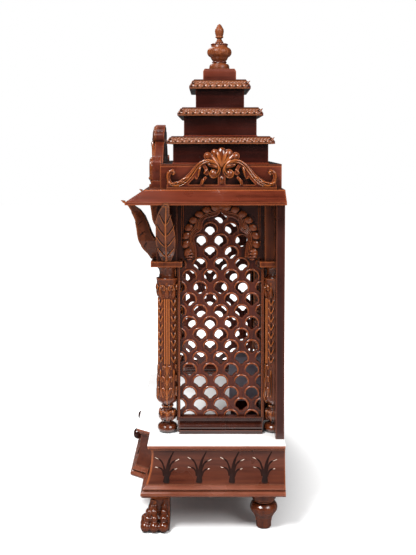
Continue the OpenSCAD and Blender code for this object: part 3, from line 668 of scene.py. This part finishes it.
def tall_leaf(bm, cuts, face):
    rib = (0.088, 0.100, 0.130, 0.165, 0.198, 0.210)
    strand(bm, [on_column(face, 0, z, 0.001) for z in rib],
           [0.0016, 0.0030, 0.0028, 0.0026, 0.0022, 0.0010])
    for s in (-1, 1):
        for lobe in LOBES:
            strand(bm, [on_column(face, s * turn, z, 0.0) for turn, z, _ in lobe],
                   [r * MM for _, _, r in lobe], Matrix(), 1.0, 3)
            # the dark vein cuts are painted shade of the grooves, with some stain
            strand(cuts, [on_column(face, s * (turn - 3), z - 0.005, 0.0026)
                          for turn, z, _ in lobe[:3]], [0.0008, 0.0016, 0.0010])
            strand(cuts, [on_column(face, s * turn, z, r * 0.85 * MM) for turn, z, r in lobe[:3]],
                   [0.0004, 0.0009, 0.0006])


COLUMN_PARTS = 8
# a ring: height, radius, petals to each part, then a petal's length, width, depth, lean, point
COLUMN_RINGS = ((0.424, 0.0275, 1, 0.034, 0.018, 0.012, 4, 0.5),
                (0.450, 0.0270, 1, 0.018, 0.012, 0.010, 0, 0.0),
                (0.078, 0.0155, 2, 0.006, 0.006, 0.006, 0, 0.0))
# a volute: height, distance from the axis and size
VOLUTES = ((0.438, 0.0300, 0.0085), (0.058, 0.0215, 0.0075))
NICKS, NICK_FOOT, CUT_FOOT, NICK_STEP = 8, 0.222, 0.226, 0.0245


# the cuts piece is dark cut wood: painted shade in nicks and grooves, with some stain
def dress_column(bm, cuts, axis, share=1.0):
    span = 360.0 * share
    n = int(COLUMN_PARTS * share)
    start = -180.0 if share == 1.0 else (span / n - span) / 2
    for height, radius, each, *shape in COLUMN_RINGS:
        ring_of_petals(bm, axis, height, radius, each * n, *shape, start, span)
    for i in range(n):
        face = Matrix.Translation(axis) @ Matrix.Rotation(math.radians(start + span * i / n),
                                                          4, "Z")
        gap = face @ Matrix.Rotation(math.radians(span / n / 2), 4, "Z")
        # volutes between the leaves of the capital and on the bulb at the foot
        for height, radius, size in VOLUTES:
            if share == 1.0 or i < n - 1:
                disc = gap @ Matrix.Translation((0, -radius, height))
                petal(bm, disc, 2 * size, 1.7 * size, 0.010, 0.0)
                ring = [(size * math.cos(math.radians(a)), -0.003,
                         size * math.sin(math.radians(a))) for a in range(-60, 240, 36)]
                strand(bm, ring, [0.0012] * len(ring), disc)
                petal(cuts, disc @ Matrix.Translation((0, -0.005, 0)), 0.004, 0.004, 0.003, 0.0)
        petal(bm, face @ Matrix.Translation((0, -0.0215, 0.051)), 0.032, 0.014, 0.012, 0.3)
        if i % 2 == 0:
            tall_leaf(bm, cuts, face)
            for turn in (-14, 0, 14):
                strand(bm, [on_column(face, turn, z, -0.0004) for z in (0.210, 0.300, 0.405)],
                       [0.0026] * 3)
            continue
        petal(bm, face @ Matrix.Translation((0, -0.0275, 0.150)), 0.088, 0.013, 0.010, 0.5)
        strand(cuts, [on_column(face, 0, z, 0.0042) for z in (0.118, 0.150, 0.178)],
               [0.0006, 0.0012, 0.0006])
        for k in range(NICKS):
            for s in (-1, 1):
                nick = face @ Matrix.Rotation(math.radians(s * 10), 4, "Z")
                nick = nick @ Matrix.Translation((0, -0.0262, NICK_FOOT + NICK_STEP * k))
                petal(bm, nick @ Matrix.Rotation(math.radians(s * 26), 4, "Y"),
                      0.022, 0.0075, 0.008, 0.4)
            petal(cuts, face @ Matrix.Translation((0, -0.0266, CUT_FOOT + NICK_STEP * k)),
                  0.015, 0.007, 0.005, 0.5)


for node, share in (("column_front_left", 1.0), ("column_front_right", 1.0),
                    ("column_rear_left", 0.5), ("column_rear_right", 0.5)):
    low, high = (Vector(v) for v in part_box(node))
    y = (low.y + high.y) / 2 if share == 1.0 else high.y
    raised, cuts = bmesh.new(), bmesh.new()
    dress_column(raised, cuts, Vector(((low.x + high.x) / 2, y, low.z)), share)
    carved_piece(f"{node}_leaves", raised, wood_carved)
    carved_piece(f"{node}_nicks", cuts, wood_cut_stain_and_shade)

# %% [markdown]
# The leaf brackets have a raised midrib down the outer face and a pair of veins to each lobe.
# Their outline is cut in the construction model, and only the lines on the face are added here:
# light strands for what stands up, dark ones for what is cut in. To keep them on the curved
# face, one function looks up how far the leaf reaches out at each height.

# %% Leaf brackets
# the outer face: reach from the post's axis and height
RIB = ((44, 4), (56, 21), (71, 39), (82, 57), (87, 80), (91, 111), (97, 131), (110, 156),
       (122, 170), (134, 177))
# a vein: height at the midrib, share of the leaf's half width, height at the edge
VEINS = ((18, 0.90, 48), (48, 1.0, 82), (80, 0.98, 116), (112, 0.74, 146))


def reach_at(height):
    for (r0, z0), (r1, z1) in zip(RIB, RIB[1:]):
        if height <= z1:
            return r0 + (r1 - r0) * (height - z0) / (z1 - z0)
    return RIB[-1][0]


def bracket_veins(bm, cuts, place, lean):
    spine = [(lean * 3.5 * max(0.0, (z - 110) / 67), r, z) for r, z in RIB]
    strand(bm, [(x * MM, -(r + 0.6) * MM, z * MM) for x, r, z in spine],
           [0.004, 0.0036, 0.0034, 0.0032, 0.003, 0.0028, 0.0026, 0.0022, 0.0018, 0.001], place)
    for low, share, high in VEINS:
        for s in (-1, 1):
            end = s * share * (27 if high < 120 else 23)
            line = [(t * end, low + (high - low) * t ** 1.3) for t in (0.08, 0.4, 0.7, 0.98)]
            # the dark vein cuts are painted shade of the grooves, with some stain
            strand(cuts, [(x * MM, -(reach_at(z) + 0.3) * MM, z * MM) for x, z in line],
                   [0.0012, 0.0020, 0.0019, 0.0010], place)
            strand(bm, [(x * MM, -(reach_at(z) - 0.2) * MM, (z - 3.2) * MM) for x, z in line],
                   [0.0008, 0.0016, 0.0015, 0.0008], place)
    for s in (-1, 1):
        for z0, z1 in ((40, 56), (72, 88), (104, 120)):
            r0, r1 = reach_at(z0) - 4, reach_at(z1) - 24
            strand(cuts, [(s * 0.0275, -r0 * MM, z0 * MM), (s * 0.028, -(r0 + r1) / 2 * MM,
                   (z0 + z1) / 2 * MM + 0.002), (s * 0.0275, -r1 * MM, z1 * MM)],
                   [0.0010, 0.0014, 0.0006], place)


for node, turn in (("leaf_front_left", 0), ("leaf_front_right", 0), ("leaf_side_right", 90),
                   ("leaf_side_left", -90)):
    column = [Vector(v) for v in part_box(node.replace("leaf_front", "post_front").replace(
        "leaf_side", "post_front"))]
    axis = Vector(((column[0].x + column[1].x) / 2, (column[0].y + column[1].y) / 2,
                   column[0].z))
    veins, cuts = bmesh.new(), bmesh.new()
    lean = -1 if node == "leaf_side_left" else 1
    bracket_veins(veins, cuts, Matrix.Translation(axis)
                  @ Matrix.Rotation(math.radians(turn), 4, "Z"), lean)
    carved_piece(f"{node}_veins", veins, wood_carved)
    carved_piece(f"{node}_cuts", cuts, wood_cut_stain_and_shade)

# %% [markdown]
# The side screens are the finest work: rows of pierced scales, each with a rounded rim. The
# holes are in the construction model. A Bevel modifier would round the whole of each hole, but
# the real rim only stands over its head, so each rim is an arc of its own, pressed flat. The
# same rows and steps as in the construction model keep rims and holes together.

# %% Scale rims
SCALE_W, SCALE_H, ARCH_FOOT, SPRING = 0.0625, 0.0355, 0.046, 0.532
RIM_R, RIM_WIDTH, RIM_END = 0.0214, 0.0030, 0.0012
SCALE_ROWS, OPENING_HALF, SCREEN_FACE = 18, 0.124, 0.315


def scale_rims(bm, place):
    # rows are staggered by half a scale, and rims stop where the arch covers them
    for row in range(SCALE_ROWS):
        for k in range(-2, 3):
            u = (k + ((row + 1) % 2) / 2) * SCALE_W
            w = ARCH_FOOT - 0.004 + row * SCALE_H
            over = w > SPRING + 0.09 and abs(u) > 0.045
            if abs(u) > 0.126 or over or (w > SPRING - 0.01 and abs(u) > 0.085):
                continue
            arc_points = []
            for angle in range(-28, 209, 34):
                a = math.radians(angle)
                x = min(max(u + RIM_R * math.cos(a), -OPENING_HALF), OPENING_HALF)
                arc_points.append((x, -0.0004, w + RIM_R * math.sin(a)))
            widths = [RIM_END] + [RIM_WIDTH] * (len(arc_points) - 2) + [RIM_END]
            strand(bm, arc_points, widths, place, 0.55, 1, 2)


# %% [markdown]
# The arch over the scales has lobes, and fine mouldings run round them side by side. Scaling one
# line would squeeze the lobes and let the mouldings run together. One function gives the line
# of the lobes at any distance from the opening instead, so the gaps between them stay even.

# %% Arch mouldings
# a moulding: its distance from the opening and half its width
ARCH_MOULDINGS = ((-0.0012, 0.0036), (0.0035, 0.0016), (0.0080, 0.0022), (0.0130, 0.0018),
                  (0.0168, 0.0011))
# a lobe: its centre, its radius and the angles that it runs through
ARCH_LOBES = (((-0.056, 0.050), 0.027, (208, 188, 168, 148, 128, 110)),
              ((-0.030, 0.090), 0.029, (192, 174, 154, 134, 116)))
STILE_LINES, SPANDREL_LINES = ((0.1235, 0.0014), (0.1275, 0.0010)), (0.1115, 0.1165, 0.1300)


def arch_line(d):
    points = [(-0.0755 - d, SPRING - 0.004), (-0.0765 - d, SPRING + 0.018)]
    for centre, radius, angles in ARCH_LOBES:
        for angle in angles:
            a = math.radians(angle)
            points.append((centre[0] + (radius + d) * math.cos(a),
                           SPRING + centre[1] + (radius + d) * math.sin(a)))
    points += [(-0.018, SPRING + 0.1225 + d), (-0.007, SPRING + 0.1285 + d),
               (0.0, SPRING + 0.138 + d)]
    return points + [(-x, z) for x, z in reversed(points[:-1])]


def screen_mouldings(bm, place, side, foot):
    for offset, width in ARCH_MOULDINGS:
        points = [(x, 0, z) for x, z in arch_line(offset)]
        strand(bm, points, [width] * len(points), place)
    # beads that close the joint between the frame and the round columns
    for y in (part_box("back_panel")[0][1] - 0.0308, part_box("post_front_left")[1][1] + 0.0008):
        strand(bm, [(side * 0.303, y, foot + z) for z in (0.032, 0.25, 0.495)],
               [0.0043] * 3)
    for s in (-1, 1):
        for x, w in STILE_LINES:
            strand(bm, [(s * x, 0, ARCH_FOOT), (s * x, 0, 0.3), (s * x, 0, SPRING - 0.03)],
                   [w] * 3, place)
        for x in SPANDREL_LINES:
            strand(bm, [(s * x, 0, SPRING + 0.03), (s * x, 0, 0.63), (s * x, 0, 0.70)],
                   [0.0012] * 3, place)


# %% [markdown]
# Outside the mouldings a ring of rounded blocks runs from one small corbel up and over to the
# other. A band with a bump pattern would stay smooth at its edge, where the blocks should
# show against the board. So they are shapes of their own: a flat rope lies under them, and a
# dark cut parts each from the next.

# %% Ring of blocks
BEAD_R, BEAD_Z, BEAD_STEP = 0.1045, 0.574, 14
# the rolls of a corbel: how high each lies, then its width and thickness
CORBEL = ((0.522, 0.018, 0.007), (0.529, 0.030, 0.009), (0.538, 0.036, 0.008),
          (0.547, 0.024, 0.011))


def arch_ring(blocks, parting, place):
    for s in (-1, 1):
        rope = [(s * BEAD_R * math.sin(math.radians(a)), 0.0,
                 BEAD_Z + BEAD_R * math.cos(math.radians(a))) for a in range(0, 113, BEAD_STEP)]
        strand(blocks, rope, [0.0080] * len(rope), place, 0.3)
        for i in range(8):
            angle = math.radians(10 + BEAD_STEP * i)
            spot = place @ Matrix.Translation((s * BEAD_R * math.sin(angle), -0.0005,
                                               BEAD_Z + BEAD_R * math.cos(angle)))
            turn = spot @ Matrix.Rotation(s * angle, 4, "Y")
            petal(blocks, turn @ Matrix.Rotation(math.pi / 2 - s * 0.5, 4, "Y"),
                  0.027, 0.0225, 0.012, 0.0)
            # the dark parting is painted shade of the cut between two blocks
            petal(parting, turn @ Matrix.Translation((s * 0.0128, -0.0016, 0.0))
                  @ Matrix.Rotation(s * 0.35, 4, "Y"), 0.025, 0.0042, 0.006, 0.0)
        for z, width, height in CORBEL:
            spot = place @ Matrix.Translation((s * 0.094, -0.001, z))
            petal(blocks, spot, height, width, 0.014, 0.0)


# %% [markdown]
# Both screens are dressed in the same way, on their outer faces. A Mirror modifier could copy
# one side, but each side needs pieces with names of its own, so a loop takes the two in turn.

# %% Dressing the screens
for side in (-1, 1):
    name = "screen_frame_right" if side > 0 else "screen_frame_left"
    low, high = (Vector(v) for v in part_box(name))
    jali_low, jali_high = (Vector(v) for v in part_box(name.replace("screen_frame", "jali")))
    middle = (low.y + high.y) / 2
    rims, lines, bead_band, bead_cuts = (bmesh.new() for _ in range(4))
    rim_face = jali_high.x if side > 0 else jali_low.x
    scale_rims(rims, side_place((rim_face, middle, low.z), (0, side, 0), (0, 0, 1)))
    carved_piece(name.replace("screen_frame", "jali") + "_rims", rims, wood_rim)
    place = side_place((side * SCREEN_FACE, middle, low.z), (0, side, 0), (0, 0, 1))
    screen_mouldings(lines, place, side, low.z)
    arch_ring(bead_band, bead_cuts, place)
    carved_piece(f"{name}_mouldings", lines, wood_rim)
    carved_piece(f"{name}_beads", bead_band, wood_rim)
    carved_piece(f"{name}_bead_cuts", bead_cuts, wood_cut_stain_and_shade)

# %% [markdown]
# The shrine stands on a white studio floor that ends nowhere, with a soft shadow under it. A
# shadow catcher could give that, but only with compositing afterwards. Here the floor is a
# plain matt sheet under the shrine, and further out it glows for the camera alone until it is
# as white as the surround.

# %% Floor
MATT_WHITE, MIRRORED_WHITE = 0.92, 0.16
# the glow starts on an oval round the base, which is wider than it is deep
MELT_OVAL, MELT_FROM, MELT_TO, MELT_GLOW = (0.75, 1.75, 0.0), 0.40, 0.80, 0.72

floor_mesh = bpy.data.meshes.new("studio_floor")
bm = bmesh.new()
bmesh.ops.create_grid(bm, x_segments=1, y_segments=1, size=12.0)
bm.to_mesh(floor_mesh)
bm.free()
floor = bpy.data.objects.new("studio_floor", floor_mesh)
bpy.context.scene.collection.objects.link(floor)
floor_material, tree, shader = new_material("studio_floor")
rays = add_node(tree, "ShaderNodeLightPath")
# the polished wood would turn grey if it mirrored the whole white floor
tone = add_node(tree, "ShaderNodeMapRange", {"To Min": MATT_WHITE, "To Max": MIRRORED_WHITE},
                {"Value": rays.outputs["Is Glossy Ray"]})
tree.links.new(tone.outputs["Result"], shader.inputs["Base Color"])
shader.inputs["Roughness"].default_value = 0.9
shader.inputs["Emission Color"].default_value = (1.0, 1.0, 1.0, 1.0)
# far off the floor melts into the white surround; under the base it keeps its shadow
place = add_node(tree, "ShaderNodeMapping", {"Scale": MELT_OVAL}, {
    "Vector": add_node(tree, "ShaderNodeTexCoord").outputs["Object"]})
away = add_node(tree, "ShaderNodeVectorMath", None, {0: place.outputs["Vector"]},
                operation="LENGTH")
melt = add_node(tree, "ShaderNodeMapRange", {"From Min": MELT_FROM, "From Max": MELT_TO,
                "To Min": 0.0, "To Max": MELT_GLOW}, {"Value": away.outputs["Value"]})
lift = add_node(tree, "ShaderNodeMath", None, {0: rays.outputs["Is Camera Ray"],
                1: melt.outputs["Result"]}, operation="MULTIPLY")
tree.links.new(lift.outputs["Value"], shader.inputs["Emission Strength"])
floor_mesh.materials.append(floor_material)
print("floor glows from", MELT_FROM, "to", MELT_TO)


# %% [markdown]
# The key lamp hangs high in front of the right side, so the eave shades the top of the screens
# and the slab shines white. A weaker lamp fills the rear, and a third one lights the far edges.
# A sun or a spot would leave hard shadows and pinpoint glare on the varnish. Wide discs give the
# broad soft lights of a photographer's soft boxes.

# %% Lamps
def soft_lamp(name, place, target, size, power):
    data = bpy.data.lights.new(name, "AREA")
    data.shape = "DISK"
    data.size = size
    data.energy = power
    lamp = bpy.data.objects.new(name, data)
    lamp.location = place
    aim = Vector(target) - Vector(place)
    lamp.rotation_euler = aim.to_track_quat("-Z", "Y").to_euler()
    bpy.context.scene.collection.objects.link(lamp)
    print(name, power, "W")


soft_lamp("key_lamp", (2.1, -1.6, 3.8), (0, 0, 0.7), 1.6, 225)
soft_lamp("fill_lamp", (2.8, 2.2, 2.8), (0, 0, 0.7), 2.0, 84)
soft_lamp("rim_lamp", (-2.4, -1.2, 3.4), (0, 0, 1.0), 1.5, 45)

# %% [markdown]
# The white surround is bright to the camera, soft as light, and dim as a reflection. With one
# strength for all, every polished face would mirror it and turn grey. The Light Path node tells
# which kind of ray is asking, so each kind gets a strength of its own, and the wood stays deep
# and red.

# %% Surround
DAYLIGHT, REFLECTED = 0.35, 0.04
world = bpy.data.worlds.new("surround")
bpy.context.scene.world = world
world.use_nodes = True
tree = world.node_tree
glow = tree.nodes["Background"]
glow.inputs["Color"].default_value = (1, 1, 1, 1)
path = add_node(tree, "ShaderNodeLightPath")
light = add_node(tree, "ShaderNodeMapRange", {"To Min": DAYLIGHT, "To Max": REFLECTED},
                 {"Value": path.outputs["Is Glossy Ray"]})
level = add_node(tree, "ShaderNodeMapRange", {"To Max": 1.0}, {
    "Value": path.outputs["Is Camera Ray"], "To Min": light.outputs["Result"]})
tree.links.new(level.outputs["Result"], glow.inputs["Strength"])
bpy.context.scene.view_settings.view_transform = "Standard"
print("surround lights with", DAYLIGHT, "and mirrors with", REFLECTED)
